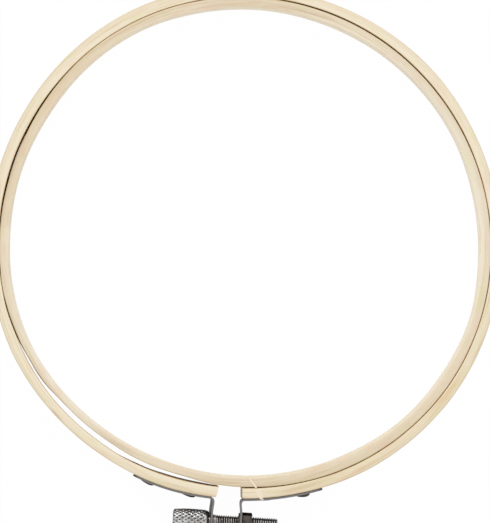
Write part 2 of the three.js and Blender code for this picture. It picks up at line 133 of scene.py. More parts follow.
# Thumb screw
SCREW_LOW, SCREW_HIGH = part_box("thumb_screw")
SCREW_Y = (SCREW_LOW.y + SCREW_HIGH.y) / 2
SCREW_COLUMNS = 128
KNOB_LENGTH = 11.08 * MM
KNOB_END_RADIUS, KNOB_BELLY_RADIUS, KNOB_NECK_SIDE_RADIUS = 2.97 * MM, 3.36 * MM, 3.26 * MM
KNOB_BELLY_PLACE = 5.5 * MM
KNOB_CHAMFER = 0.3 * MM
SHOULDER_LENGTH, SHOULDER_RADIUS = 1.44 * MM, 2.6 * MM
KNURL_DEPTH, KNURL_RIDGE_WIDTH = 0.34 * MM, 0.25
KNURLS_AROUND, KNURLS_ALONG = 16, 5
NECK_LENGTH, NECK_RADIUS = 1.3 * MM, 1.65 * MM
PLAIN_LENGTH = 0.6 * MM
THREAD_RADIUS, THREAD_DEPTH, THREAD_PITCH = 2.0 * MM, 0.4 * MM, 0.7 * MM
THREAD_ROOT, THREAD_SLOPE = 0.12, 0.72
TIP_CHAMFER = 0.5 * MM
KNURL_ROWS, SHOULDER_ROWS, THREAD_ROWS = 17, 9, 14

# Painted shade on the screw: plain shares, and how it grows with depth in the knurl and the thread
END_SHADE, SHOULDER_SHADE, NECK_SHADE = 0.2, 0.0, 0.4
KNURL_SHADE, KNURL_UNSHADED = 1.7, 0.3
THREAD_SHADE, THREAD_UNSHADED = 1.4, 0.35


def srgb(red, green, blue):
    """A screen colour, 0 to 255, as the linear colour that a shader takes."""
    def linear(value):
        value /= 255
        return value / 12.92 if value <= 0.04045 else ((value + 0.055) / 1.055) ** 2.4
    return (linear(red), linear(green), linear(blue), 1.0)


# Shapes of the rings

def stray_at(table, angle):
    """The smooth curve through a table's values."""
    place = angle / (2 * math.pi) * len(table)
    start = math.floor(place)
    share = place - start
    before, low, high, after = (table[(start + step) % len(table)] for step in (-1, 0, 1, 2))
    rest = 1 - share
    slopes = rest * (high - before) / 2 - share * (after - low) / 2
    steady = (1 + 2 * share) * rest * rest * low + (1 + 2 * rest) * share * share * high
    return (steady + share * rest * slopes) * MM


def arc_share(angle, middle, span, run_out):
    """One along an arc, falling smoothly to zero over the run-out at each of its ends."""
    away = abs(math.remainder(angle - middle, 2 * math.pi))
    return 1 - smoothstep(away, span / 2 - run_out, span / 2)


def smoothstep(value, low, high):
    share = min(max((value - low) / (high - low), 0), 1)
    return share * share * (3 - 2 * share)


def humps(arcs, angle):
    """The sum of the arcs' amounts, each rising and falling smoothly at its ends."""
    degrees = math.degrees(math.remainder(angle, 2 * math.pi))
    total = 0.0
    for start, full, last, end, amount in arcs:
        rise = smoothstep(degrees, start, full + 0.001)
        total += amount * rise * (1 - smoothstep(degrees, last, end))
    return total * MM


def bore_stray(angle, depth):
    return stray_at(BORE_STRAY, angle)


def planed_stray(angle):
    planed = arc_share(angle, PLANED_ANGLE, PLANED_SPAN, PLANED_RUN_OUT)
    return stray_at(JOINT_STRAY, angle) - PLANED_DEPTH * planed


def inner_outside_stray(angle, depth):
    """depth is zero on the upper face and one at the foot."""
    worked = humps(INNER_SHIFTS, angle) + depth * humps(INNER_LEANS, angle)
    return planed_stray(angle) + worked + CRACK_MIDDLE - stray_at(CRACK, angle) / 2


def outer_inside_stray(angle, depth):
    bowed = BOW_DEPTH * arc_share(angle, BOW_ANGLE, BOW_SPAN, BOW_SPAN / 2)
    worked = bowed + humps(OUTER_SHIFTS, angle) + depth * humps(OUTER_LEANS, angle)
    return stray_at(JOINT_STRAY, angle) + worked - CRACK_MIDDLE + stray_at(CRACK, angle) / 2


def rim_stray(angle, depth):
    return stray_at(RIM_STRAY, angle)


def ring_middle():
    """The point that the rings are bent round, from where the inner ring's box lies."""
    angles = [math.radians(degree) for degree in range(360)]
    xs = [(INNER_OUTSIDE + planed_stray(a)) * math.cos(a) for a in angles]
    ys = [(INNER_OUTSIDE + planed_stray(a)) * math.sin(a) for a in angles]
    low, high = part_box("inner_ring")
    x = (low.x + high.x) / 2 - (min(xs) + max(xs)) / 2
    y = (low.y + high.y) / 2 - (min(ys) + max(ys)) / 2
    return Vector((x, y, 0))


MIDDLE = ring_middle()


def ring_section(inside, outside):
    """Points round a ring's section, with round edges, as (radius, height, near the outside)."""
    corners = [
        (outside - EDGE_RADIUS, EDGE_RADIUS, -90),
        (outside - EDGE_RADIUS, RING_HEIGHT - EDGE_RADIUS, 0),
        (inside + EDGE_RADIUS, RING_HEIGHT - EDGE_RADIUS, 90),
        (inside + EDGE_RADIUS, EDGE_RADIUS, 180),
    ]
    rounded = []
    for x, y, start in corners:
        for step in range(EDGE_STEPS + 1):
            turn = math.radians(start + 90 * step / EDGE_STEPS)
            rounded.append((x + EDGE_RADIUS * math.cos(turn), y + EDGE_RADIUS * math.sin(turn)))
    points = []
    for i, (x, y) in enumerate(rounded):
        points.append((x, y))
        if (i + 1) % (EDGE_STEPS + 1) == 0:
            next_x, next_y = rounded[(i + 1) % len(rounded)]
            for step in range(1, FLAT_STEPS):
                share = step / FLAT_STEPS
                points.append((x + (next_x - x) * share, y + (next_y - y) * share))
    return points


def hand_worked(radius, height, angle, seed):
    """A point of a ring's section, moved a few hundredths as sanding by hand leaves it."""
    long_waves, short_waves = 9.0, 60.0
    east, north = math.cos(angle), math.sin(angle)
    around = Vector((east * long_waves, north * long_waves, seed))
    up = noise.noise(around + Vector((0, 0, height * 300)))
    out = noise.noise(around * 1.7 + Vector((5, 5, radius * 400)))
    short = noise.noise(Vector((east * short_waves, north * short_waves, seed + radius * 900)))
    return radius + SANDED_OUT * out, height + SANDED_UP * up + SANDED_UP_SHORT * short


def mesh_object(name, vertices, faces):
    mesh = bpy.data.meshes.new(name)
    mesh.from_pydata(vertices, [], faces)
    mesh.validate()
    piece = bpy.data.objects.new(name, mesh)
    bpy.context.scene.collection.objects.link(piece)
    return piece


def smooth(piece, degrees=35):
    """Shades a piece smooth except across its sharp edges, with all its faces outwards."""
    body = bmesh.new()
    body.from_mesh(piece.data)
    bmesh.ops.recalc_face_normals(body, faces=body.faces)
    limit = math.radians(degrees)
    for face in body.faces:
        face.smooth = True
    for edge in body.edges:
        sharp = len(edge.link_faces) == 2 and edge.calc_face_angle(0) > limit
        edge.smooth = not sharp
    body.to_mesh(piece.data)
    body.free()
    return piece


def bent_strip(name, faces_at, strays, angle_at, steps, closed, seed):
    """A ring or a length of one. angle_at(share, radius, height) gives the angle along it."""
    inside, outside = faces_at
    section = ring_section(inside, outside)
    count = len(section)
    vertices = []
    for step in range(steps if closed else steps + 1):
        for radius, height in section:
            angle = angle_at(step / steps, radius, height)
            depth = 1 - height / RING_HEIGHT
            inside_stray, outside_stray = (stray(angle, depth) for stray in strays)
            nearness = (radius - inside) / (outside - inside)
            real_radius, real_height = hand_worked(radius, height, angle, seed)
            reach = real_radius + inside_stray + (outside_stray - inside_stray) * nearness
            vertices.append((
                MIDDLE.x + reach * math.cos(angle),
                MIDDLE.y + reach * math.sin(angle),
                max(real_height, 0.0) if height > 0.01 * MM else 0.0,
            ))
    rows = steps if closed else steps + 1
    faces = []
    for step in range(steps):
        row, next_row = step * count, (step + 1) % rows * count
        for i in range(count):
            j = (i + 1) % count
            faces.append((row + i, row + j, next_row + j, next_row + i))
    if not closed:
        faces.append(tuple(range(count)))
        faces.append(tuple(steps * count + i for i in range(count)))
    return smooth(mesh_object(name, vertices, faces), 50)


def split_end_angle(end, radius, height):
    """Angle of one cut end of the outer ring, at a place on its section."""
    side, distance, flare, chip = end
    near_rim = smoothstep(radius, OUTER_OUTSIDE - CHIP_REACH, OUTER_OUTSIDE)
    near_top = smoothstep(height, RING_HEIGHT - CHIP_DEPTH, RING_HEIGHT - CHIP_TOP)
    distance += chip * near_rim * near_top
    reach = radius + stray_at(RIM_STRAY, SPLIT_ANGLE)
    x = side * (distance + (reach - OUTER_INSIDE) * math.tan(flare))
    x += (height - MID_HEIGHT) * math.tan(SPLIT_LEAN)
    return SPLIT_ANGLE + math.asin(x / reach)


def make_inner_ring():
    piece = bent_strip(
        "inner_ring_bamboo", (INNER_INSIDE, INNER_OUTSIDE), (bore_stray, inner_outside_stray),
        lambda share, radius, height: 2 * math.pi * share, RING_STEPS, True, 3.0)
    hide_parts("inner_ring")
    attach(piece, "inner_hoop")
    return piece


def make_outer_ring():
    """Two halves that meet at the top."""
    def right(share, radius, height):
        start = split_end_angle(RIGHT_END, radius, height)
        return start + (TOP_ANGLE - start) * share

    def left(share, radius, height):
        end = split_end_angle(LEFT_END, radius, height) + 2 * math.pi
        return TOP_ANGLE + (end - TOP_ANGLE) * share

    pieces = []
    for name, angle_at in (("outer_ring_right_half", right), ("outer_ring_left_half", left)):
        piece = bent_strip(
            name, (OUTER_INSIDE, OUTER_OUTSIDE), (outer_inside_stray, rim_stray),
            angle_at, RING_STEPS // 2, False, 11.0)
        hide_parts("outer_ring")
        pieces.append(piece)
    return pieces


# Shapes of the clamp

def bevelled_copy(node, name, width, level_wear, segments=3):
    """A CAD piece with its edges broken, as tumbling leaves a stamped or turned part.

    How much of the edge colour each face takes is kept beside it: the broken edges in full, and
    level faces by a share. That colour is wear, and on the nut a painted highlight.
    """
    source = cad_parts[node]
    mesh = source.data.copy()
    mesh.name = name
    mesh.materials.clear()
    piece = bpy.data.objects.new(name, mesh)
    bpy.context.scene.collection.objects.link(piece)
    body = bmesh.new()
    body.from_mesh(mesh)
    bmesh.ops.remove_doubles(body, verts=body.verts, dist=0.001 * MM)
    bmesh.ops.dissolve_limit(
        body, angle_limit=math.radians(0.4), verts=body.verts, edges=body.edges)
    sharp = [
        edge for edge in body.edges
        if len(edge.link_faces) == 2 and edge.calc_face_angle(0) > SHARP_ANGLE]
    wear_and_highlight = body.faces.layers.float.new("edge")
    bevelled = bmesh.ops.bevel(
        body, geom=sharp, offset=width, segments=segments, profile=0.5,
        affect="EDGES", clamp_overlap=True)
    for face in body.faces:
        face[wear_and_highlight] = level_wear * smoothstep(abs(face.normal.z), 0.75, 0.97)
    for face in bevelled["faces"]:
        face[wear_and_highlight] = 1.0
    bmesh.ops.triangulate(body, faces=[f for f in body.faces if len(f.verts) > 4])
    body.to_mesh(mesh)
    body.free()
    smooth(piece, 40)
    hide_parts(node)
    return piece


def spread_twist(piece):
    """Carries the left lug's twist on smoothly through its bend and into the strap."""
    for vertex in piece.data.vertices:
        if vertex.co.y > LUG_TOP_Y:
            fade = smoothstep(vertex.co.x, TWIST_FADE_X, LUG_TOP_X)
            vertex.co.x += LUG_TWIST * fade * (vertex.co.z - MID_HEIGHT)


def turned(name, xs, radii_at, columns):
    """A body turned about the screw's axis. radii_at(xs, angles) gives a grid of radii."""
    angles = np.arange(columns) * 2 * math.pi / columns
    radii = radii_at(xs[:, None], angles[None, :])
    grid_x = np.broadcast_to(xs[:, None], radii.shape)
    grid_y = SCREW_Y + radii * np.cos(angles)[None, :]
    grid_z = MID_HEIGHT + radii * np.sin(angles)[None, :]
    vertices = np.stack([grid_x, grid_y, grid_z], axis=-1).reshape(-1, 3)
    rows = len(xs)
    column = np.arange(columns)
    following = (column + 1) % columns
    faces = []
    for row in range(rows - 1):
        base, above = row * columns, (row + 1) * columns
        quads = np.stack([base + column, base + following, above + following, above + column], 1)
        faces.extend(quads.tolist())
    faces.append(tuple(column.tolist()))
    faces.append(tuple(((rows - 1) * columns + column).tolist()))
    return mesh_object(name, vertices.tolist(), faces)


def wave(turns):
    """A sawtooth with even slopes: zero at each whole turn and one half way between."""
    return 1 - np.abs(2 * (turns - np.floor(turns)) - 1)


def knob_outline(distance):
    """Barrel outline of the head, at a distance from its outer end."""
    end = np.where(distance < KNOB_BELLY_PLACE, 0, KNOB_LENGTH - SHOULDER_LENGTH)
    end_radius = np.where(distance < KNOB_BELLY_PLACE, KNOB_END_RADIUS, KNOB_NECK_SIDE_RADIUS)
    share = (distance - KNOB_BELLY_PLACE) / (end - KNOB_BELLY_PLACE)
    return KNOB_BELLY_RADIUS - (KNOB_BELLY_RADIUS - end_radius) * share ** 2


def make_thumb_screw():
    """Knurled head, plain neck and a thread, with the painted shade of each point kept beside it.
    """
    head = SCREW_LOW.x
    knob_face = head + KNOB_LENGTH
    knurl_start, knurl_end = head + KNOB_CHAMFER, knob_face - SHOULDER_LENGTH
    neck_end = knob_face + NECK_LENGTH
    neck_taper = THREAD_RADIUS - NECK_RADIUS
    tip = SCREW_HIGH.x

    def knurl(xs, angles):
        along = (xs - knurl_start) / (knurl_end - knurl_start) * KNURLS_ALONG
        around = KNURLS_AROUND * angles / (2 * math.pi)
        ridges = np.maximum(wave(around + along), wave(around - along))
        sunk = 1 - np.minimum(1, (1 + KNURL_RIDGE_WIDTH) * ridges)
        end_drop = np.clip((knurl_start - xs) / KNOB_CHAMFER, 0, 1)
        outline = knob_outline(xs - head) - KNURL_DEPTH * sunk
        lowest = KNOB_END_RADIUS - KNURL_DEPTH - KNOB_CHAMFER
        return outline + (lowest - outline) * end_drop

    def thread(xs, angles):
        turns = xs / THREAD_PITCH - angles / (2 * math.pi)
        crest = np.clip((wave(turns) - THREAD_ROOT) / THREAD_SLOPE, 0, 1)
        run_in = np.clip((xs - neck_end - PLAIN_LENGTH) / THREAD_PITCH, 0, 1)
        return THREAD_RADIUS - THREAD_DEPTH * (1 - crest) * run_in

    def radii(xs, angles):
        flat = np.zeros_like(xs + angles)
        share = np.clip((xs - knurl_end) / SHOULDER_LENGTH, 0, 1)
        shoulder = KNOB_NECK_SIDE_RADIUS - (KNOB_NECK_SIDE_RADIUS - SHOULDER_RADIUS) * share ** 2
        result = np.where(xs > knurl_end, shoulder + flat, knurl(xs, angles))
        result = np.where(xs > knob_face + 0.001 * MM, NECK_RADIUS + flat, result)
        onset = NECK_RADIUS + neck_taper * np.clip((xs - neck_end) / neck_taper + 1, 0, 1)
        threaded = np.minimum(onset + flat, thread(xs, angles))
        result = np.where(xs > neck_end - neck_taper, threaded, result)
        return np.minimum(result, THREAD_RADIUS - TIP_CHAMFER + (tip - xs) + flat)

    knurl_rows = np.linspace(head, knurl_end, KNURL_ROWS * KNURLS_ALONG)
    shoulder_rows = np.linspace(knurl_end, knob_face, SHOULDER_ROWS)[1:]
    neck_rows = np.array([knob_face + 0.02 * MM, neck_end - neck_taper])
    thread_rows = np.arange(neck_end - 0.3 * MM, tip - 0.01 * MM, THREAD_PITCH / THREAD_ROWS)
    xs = np.concatenate([knurl_rows, shoulder_rows, neck_rows, thread_rows, [tip]])[:, None]
    piece = turned("thumb_screw_turned", xs[:, 0], radii, SCREW_COLUMNS)
    grid = radii(xs, np.arange(SCREW_COLUMNS)[None, :] * 2 * math.pi / SCREW_COLUMNS)
    # Painted shade, deeper in the knurl's pits and the thread's roots, with plain shares elsewhere
    knurled = (knob_outline(xs - head) - grid) / KNURL_DEPTH * KNURL_SHADE - KNURL_UNSHADED
    threaded = (THREAD_RADIUS - grid) / THREAD_DEPTH * THREAD_SHADE - THREAD_UNSHADED
    groove_shade = np.where(xs <= knurl_end, knurled, threaded)
    groove_shade = np.where((xs > knurl_end) & (xs <= knob_face), SHOULDER_SHADE, groove_shade)
    groove_shade = np.where(xs < knurl_start, END_SHADE, groove_shade)
    groove_shade = np.where((xs > knob_face) & (xs < neck_end + PLAIN_LENGTH), NECK_SHADE, groove_shade)
    depth = piece.data.attributes.new("groove", "FLOAT", "POINT")
    depth.data.foreach_set("value", np.clip(groove_shade, 0, 1).reshape(-1).astype(np.float32))
    smooth(piece, 60)
    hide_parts("thumb_screw")
    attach(piece, "screw")
    return piece


def make_clamp():
    """The brackets, rivets and nut, on the ends of the outer ring that carry them."""
    made = []
    for node, body, slot, width in (
        ("left_bracket", "left_end", "bracket_steel", BRACKET_EDGE),
        ("right_bracket", "outer_hoop", "bracket_steel", BRACKET_EDGE),
        ("left_rivet_near", "left_end", "rivet_steel", RIVET_EDGE),
        ("left_rivet_far", "left_end", "rivet_steel", RIVET_EDGE),
        ("right_rivet_near", "outer_hoop", "rivet_steel", RIVET_EDGE),
        ("right_rivet_far", "outer_hoop", "rivet_steel", RIVET_EDGE),
        ("clamp_nut", "outer_hoop", "nut_steel", NUT_EDGE),
    ):
        level_wear = BRACKET_LEVEL_WEAR if "bracket" in node else 0.0
        piece = bevelled_copy(node, node + "_finished", width, level_wear)
        if node == "left_bracket":
            spread_twist(piece)
        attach(piece, body)
        made.append(piece)
    return made


# Node building

class Nodes:
    """Adds nodes to one material, with sockets or plain values as inputs."""

    def __init__(self, name):
        self.material = bpy.data.materials.new(name)
        self.material.use_nodes = True
        self.tree = self.material.node_tree
        self.shader = self.tree.nodes["Principled BSDF"]

    def add(self, kind, *inputs, output=0, **settings):
        node = self.tree.nodes.new(kind)
        for key, value in settings.items():
            setattr(node, key, value)
        for index, value in enumerate(inputs):
            if value is not None:
                self.put(node.inputs[index], value)
        return node.outputs[output]

    def put(self, socket, value):
        if isinstance(value, bpy.types.NodeSocket):
            self.tree.links.new(value, socket)
        else:
            socket.default_value = value

    def math(self, operation, *values, clamp=False):
        return self.add("ShaderNodeMath", *values, operation=operation, use_clamp=clamp)

    def mix(self, factor, first, second, blend="MIX"):
        node = self.tree.nodes.new("ShaderNodeMix")
        node.data_type = "RGBA"
        node.blend_type = blend
        self.put(node.inputs["Factor"], factor)
        self.put(node.inputs[6], first)
        self.put(node.inputs[7], second)
        return node.outputs[2]

    def ramp(self, value, low, high):
        """Zero below low, one above high, and smooth between them."""
        node = self.tree.nodes.new("ShaderNodeMapRange")
        node.interpolation_type = "SMOOTHSTEP"
        self.put(node.inputs["Value"], value)
        node.inputs["From Min"].default_value = low
        node.inputs["From Max"].default_value = high
        return node.outputs["Result"]

    def noise(self, vector, w=0.0, scale=1.0, detail=2.0, roughness=0.5):
        node = self.tree.nodes.new("ShaderNodeTexNoise")
        node.noise_dimensions = "4D"
        self.put(node.inputs["Vector"], vector)
        self.put(node.inputs["W"], w)
        node.inputs["Scale"].default_value = scale
        node.inputs["Detail"].default_value = detail
        node.inputs["Roughness"].default_value = roughness
        return node.outputs["Fac"]

    def vector(self, x, y, z):
        return self.add("ShaderNodeCombineXYZ", x, y, z)

    def bump(self, height, distance, strength):
        node = self.tree.nodes.new("ShaderNodeBump")
        node.inputs["Strength"].default_value = strength
        node.inputs["Distance"].default_value = distance
        self.put(node.inputs["Height"], height)
        self.tree.links.new(node.outputs["Normal"], self.shader.inputs["Normal"])

    def finish(self, **inputs):
        for name, value in inputs.items():
            self.put(self.shader.inputs[name.replace("_", " ")], value)
        return self.material


class RingPlace(Nodes):
    """A material that knows where on the rings a point lies: round it, out from it and up it."""

    def __init__(self, name):
        super().__init__(name)
        place = self.add("ShaderNodeTexCoord", output=3)
        shift = self.add("ShaderNodeVectorMath", place, tuple(MIDDLE), operation="SUBTRACT")
        split = self.tree.nodes.new("ShaderNodeSeparateXYZ")
        self.put(split.inputs[0], shift)
        x, y, self.height = split.outputs
        self.radius = self.math("SQRT", self.math("ADD", self.math("MULTIPLY", x, x),
                                                  self.math("MULTIPLY", y, y)))
        self.east = self.math("DIVIDE", x, self.radius)
        self.north = self.math("DIVIDE", y, self.radius)
        self.angle = self.math("ARCTAN2", y, x)
        facing = self.tree.nodes.new("ShaderNodeSeparateXYZ")
        self.put(facing.inputs[0], self.add("ShaderNodeNewGeometry", output=3))
        self.outward = self.math(
            "ADD", self.math("MULTIPLY", facing.outputs[0], self.east),
            self.math("MULTIPLY", facing.outputs[1], self.north))

    def grain(self, length, width, seed=0.0, detail=2.0, roughness=0.5):
        """Noise in streaks of this length and width, drawn out round the ring."""
        turns = INNER_OUTSIDE / length
        vector = self.vector(
            self.math("MULTIPLY", self.east, turns),
            self.math("MULTIPLY", self.north, turns),
            self.math("MULTIPLY", self.radius, 1 / width))
        w = self.math("MULTIPLY_ADD", self.height, 1 / width, seed)
        return self.noise(vector, w, 1.0, detail, roughness)

    def near(self, value, middle, reach):
        """One at the middle value, falling to zero within reach on each side."""
        away = self.math("ABSOLUTE", self.math("SUBTRACT", value, middle))
        return self.math("SUBTRACT", 1.0, self.ramp(away, 0.0, reach))


def bamboo(name, colours, crack_side, far_wall_light_and_shade, seed, tones, stains_and_painted_shade):
    """Pale split bamboo: fibres round the ring, slow changes of tone, a few stains and painted
    shade.

    crack_side is 1 where the crack lies outside the ring and -1 inside it. The other wall and its
    edges take painted light and shade: lighter on the inner ring's bore, darker on the outer
    ring's rim. The walls facing the crack take a warm painted shade.
    """
    (inside, inside_colour), (outside, outside_colour) = colours
    wood = RingPlace(name)
    colour = wood.mix(wood.ramp(wood.radius, inside, outside), inside_colour, outside_colour)
    for middle, reach, tint in tones:
        place = wood.near(wood.angle, math.radians(middle), math.radians(reach))
        colour = wood.mix(place, colour, wood.mix(1.0, colour, tint, "MULTIPLY"))
    hue = wood.grain(7 * MM, 1.7 * MM, seed + 7, 2.0)
    colour = wood.mix(wood.ramp(hue, 0.5, 0.72), colour,
                      wood.mix(1.0, colour, REDDISH, "MULTIPLY"))
    colour = wood.mix(wood.ramp(hue, 0.48, 0.28), colour,
                      wood.mix(1.0, colour, GREENISH, "MULTIPLY"))
    bundles = wood.grain(22 * MM, 0.42 * MM, seed + 13, 3.0, 0.6)
    patches = wood.ramp(wood.grain(30 * MM, 9 * MM, seed + 3, 1.0), 0.4, 0.62)
    strength = wood.math("MULTIPLY_ADD", patches, 0.7, 0.35)
    colour = wood.mix(wood.math("MULTIPLY", wood.ramp(bundles, 0.5, 0.68), strength), colour,
                      wood.mix(1.0, colour, STREAK, "MULTIPLY"))
    fibres = wood.grain(9 * MM, 0.16 * MM, seed + 29, 3.0, 0.65)
    colour = wood.mix(wood.math("MULTIPLY", wood.ramp(fibres, 0.5, 0.72), 0.55), colour,
                      wood.mix(1.0, colour, STREAK, "MULTIPLY"))
    # Stains, with the painted shade by the inner ring's lap tip listed among them
    for middle, reach, radius, spread, tint, amount in stains_and_painted_shade:
        place = wood.math(
            "MULTIPLY",
            wood.near(wood.angle, math.radians(middle), math.radians(reach)),
            wood.near(wood.radius, radius, spread))
        broken = wood.math("MULTIPLY", place, wood.ramp(bundles, 0.36, 0.6))
        colour = wood.mix(wood.math("MULTIPLY", broken, amount), colour, tint)
    facing = wood.math("MULTIPLY", wood.outward, crack_side)
    # Painted light and shade on the wall away from the crack, and on its edges
    colour = wood.mix(wood.ramp(facing, -0.25, -0.85), colour,
                      wood.mix(1.0, colour, far_wall_light_and_shade, "MULTIPLY"))
    # Painted shade, warm and dark, on the walls that face the crack between the rings
    colour = wood.mix(wood.ramp(facing, 0.6, 0.95), colour,
                      wood.mix(1.0, colour, CRACK_PAINTED_SHADE, "MULTIPLY"))
    roughness = wood.math("MULTIPLY_ADD", fibres, 0.22, 0.46)
    relief = wood.math("MULTIPLY_ADD", bundles, 0.6, wood.math("MULTIPLY", fibres, 0.4))
    wood.bump(relief, 0.06 * MM, 0.55)
    return wood.finish(Base_Color=colour, Roughness=roughness)


def end_grain():
    """The sawn ends of the outer ring: dark fibre bundles, closer together near the outside."""
    wood = RingPlace("bamboo_end_grain")
    cells = wood.tree.nodes.new("ShaderNodeTexVoronoi")
    cells.inputs["Scale"].default_value = 1 / (0.34 * MM)
    wood.put(cells.inputs["Vector"], wood.vector(wood.radius, wood.height, 0.0))
    dots = wood.math("SUBTRACT", 1.0, wood.ramp(cells.outputs["Distance"], 0.12, 0.42))
    density = wood.ramp(wood.radius, OUTER_INSIDE - 1 * MM, OUTER_OUTSIDE)
    share = wood.math("MULTIPLY", dots, density)
    colour = wood.mix(share, srgb(246, 230, 200), srgb(210, 182, 140))
    wood.bump(dots, 0.03 * MM, 0.4)
    return wood.finish(Base_Color=colour, Roughness=0.7)


def steel(name, bright, dull, roughness, grazing, wear_and_highlight=None, groove_shade=None):
    """Dull plated steel with cloudy wear: a colour for worn edges, which on the nut is a painted
    highlight, and one for painted shade in grooves.

    grazing is how much it still reflects where it is seen nearly edge on.
    """
    metal = Nodes(name)
    place = metal.add("ShaderNodeTexCoord", output=3)
    clouds = metal.noise(place, 1.0, 700.0, 3.0)
    speckle = metal.noise(place, 4.0, 4200.0, 2.0)
    colour = metal.mix(metal.ramp(clouds, 0.35, 0.68), dull, bright)
    rough = metal.math("MULTIPLY_ADD", clouds, 0.18, roughness - 0.09)
    # Edge colour: wear on the brackets and rivets, a painted highlight on the nut
    if wear_and_highlight:
        edge = metal.add("ShaderNodeAttribute", output=2, attribute_name="edge")
        colour = metal.mix(edge, colour, wear_and_highlight)
    colour = metal.mix(metal.math("MULTIPLY", metal.ramp(speckle, 0.58, 0.7), 0.35), colour, dull)
    # Painted shade in the grooves and hollows
    if groove_shade:
        sunk = metal.add("ShaderNodeAttribute", output=2, attribute_name="groove")
        colour = metal.mix(sunk, colour, groove_shade)
        rough = metal.math("MULTIPLY_ADD", sunk, 0.2, rough)
    metal.bump(speckle, 0.01 * MM, 0.3)
    metal.shader.inputs["Specular Tint"].default_value = (grazing, grazing, grazing, 1.0)
    return metal.finish(Base_Color=colour, Roughness=rough, Metallic=1.0)


def dried_glue():
    glue = Nodes("dried_glue")
    place = glue.add("ShaderNodeTexCoord", output=3)
    cloud = glue.noise(place, 2.0, 1500.0, 3.0)
    colour = glue.mix(cloud, srgb(250, 236, 212), srgb(240, 222, 200))
    glue.bump(cloud, 0.02 * MM, 0.4)
    return glue.finish(Base_Color=colour, Roughness=0.42)


# The dried thread of glue across both rings, beside the right end of the split, as places
# from the rings' middle with the bead's width there
GLUE_ON_INNER = [
    (5.64, -71.34, 0.35), (6.35, -72.34, 0.45), (7.4, -73.5, 0.6), (8.0, -74.2, 0.68),
    (8.4, -74.7, 0.45)]
GLUE_ON_OUTER = [
    (8.75, -75.15, 1.5), (9.1, -75.7, 1.75), (9.5, -76.44, 1.7), (9.9, -77.2, 1.45),
    (10.15, -77.85, 1.0)]
GLUE_SPINE = [(9.35, -75.2, 0.3), (9.7, -75.9, 0.5), (10.05, -76.7, 0.45), (10.2, -77.2, 0.2)]
GLUE_ON_STRAP = [(9.85, -78.05, 0.4), (10.35, -78.1, 0.45), (10.9, -78.05, 0.3)]


def make_glue(name, places, slope, body, ground):
    """A bead lying on a level face, flat or round by its slope, through the places."""
    steps, sides, waver, waves = 8, 10, 0.06, 1.3
    points = []
    for (x0, y0, w0), (x1, y1, w1) in zip(places, places[1:]):
        for step in range(steps):
            share = step / steps
            points.append((x0 + (x1 - x0) * share, y0 + (y1 - y0) * share, w0 + (w1 - w0) * share))
    points.append(places[-1])
    vertices = []
    for i, (x, y, width) in enumerate(points):
        x0, y0, _ = points[max(i - 1, 0)]
        x1, y1, _ = points[min(i + 1, len(points) - 1)]
        across = Vector((y0 - y1, x1 - x0)).normalized()
        middle = Vector((x, y)) + across * waver * math.sin(waves * i)
        for side in range(sides):
            turn = 2 * math.pi * side / sides
            point = middle + across * (width / 2 * math.cos(turn))
            rise = ground + 0.02 * MM + width * MM * slope * max(math.sin(turn), -0.3)
            vertices.append((MIDDLE.x + point.x * MM, MIDDLE.y + point.y * MM, rise))
    last = (len(points) - 1) * sides
    faces = [tuple(range(sides)), tuple(last + i for i in range(sides))]
    for row in range(0, last, sides):
        for side in range(sides):
            following = (side + 1) % sides
            above = row + sides
            faces.append((row + side, row + following, above + following, above + side))
    piece = smooth(mesh_object(name, vertices, faces), 60)
    piece.data.materials.append(GLUE)
    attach(piece, body)


# Build

inner_ring = make_inner_ring()
outer_halves = make_outer_ring()
clamp = make_clamp()
screw = make_thumb_screw()

# Finish

REDDISH, GREENISH = (1.0, 0.93, 0.91, 1.0), (0.95, 0.985, 0.86, 1.0)
# CRACK_PAINTED_SHADE is painted shade for the walls that face the crack between the rings
STREAK, CRACK_PAINTED_SHADE = (0.88, 0.79, 0.69, 1.0), (0.9, 0.78, 0.6, 1.0)
INNER_WOOD = bamboo(
    "inner_bamboo",
    ((INNER_INSIDE, srgb(238, 225, 201)), (INNER_OUTSIDE, srgb(228, 212, 184))), 1.0,
    # Painted light on the bore wall: lighter and cooler
    (1.04, 1.05, 1.07, 1.0), 2.0,
    [(30, 60, (1.0, 1.02, 1.05, 1.0)), (-8, 60, (1.06, 1.075, 1.11, 1.0)),
     (-145, 32, (1.03, 1.06, 1.1, 1.0)), (-92, 44, (0.945, 0.93, 0.885, 1.0)),
     (158, 52, (0.93, 0.905, 0.85, 1.0)), (112, 24, (0.985, 0.985, 0.985, 1.0)),
     (-58, 24, (0.98, 0.98, 0.955, 1.0))],
    [(-88, 22, 73.6 * MM, 1.6 * MM, srgb(205, 174, 138), 0.7),
     (92, 24, 73.4 * MM, 1.5 * MM, srgb(204, 176, 140), 0.7),
     (78, 12, 73.2 * MM, 1.2 * MM, srgb(196, 170, 132), 0.7),
     (-118, 12, 73.0 * MM, 1.2 * MM, srgb(200, 180, 146), 0.7),
     # Painted shade where the inner ring's lap ends in a blunt tip
     (-157, 5, 75.3 * MM, 1.0 * MM, srgb(176, 150, 112), 0.9)])
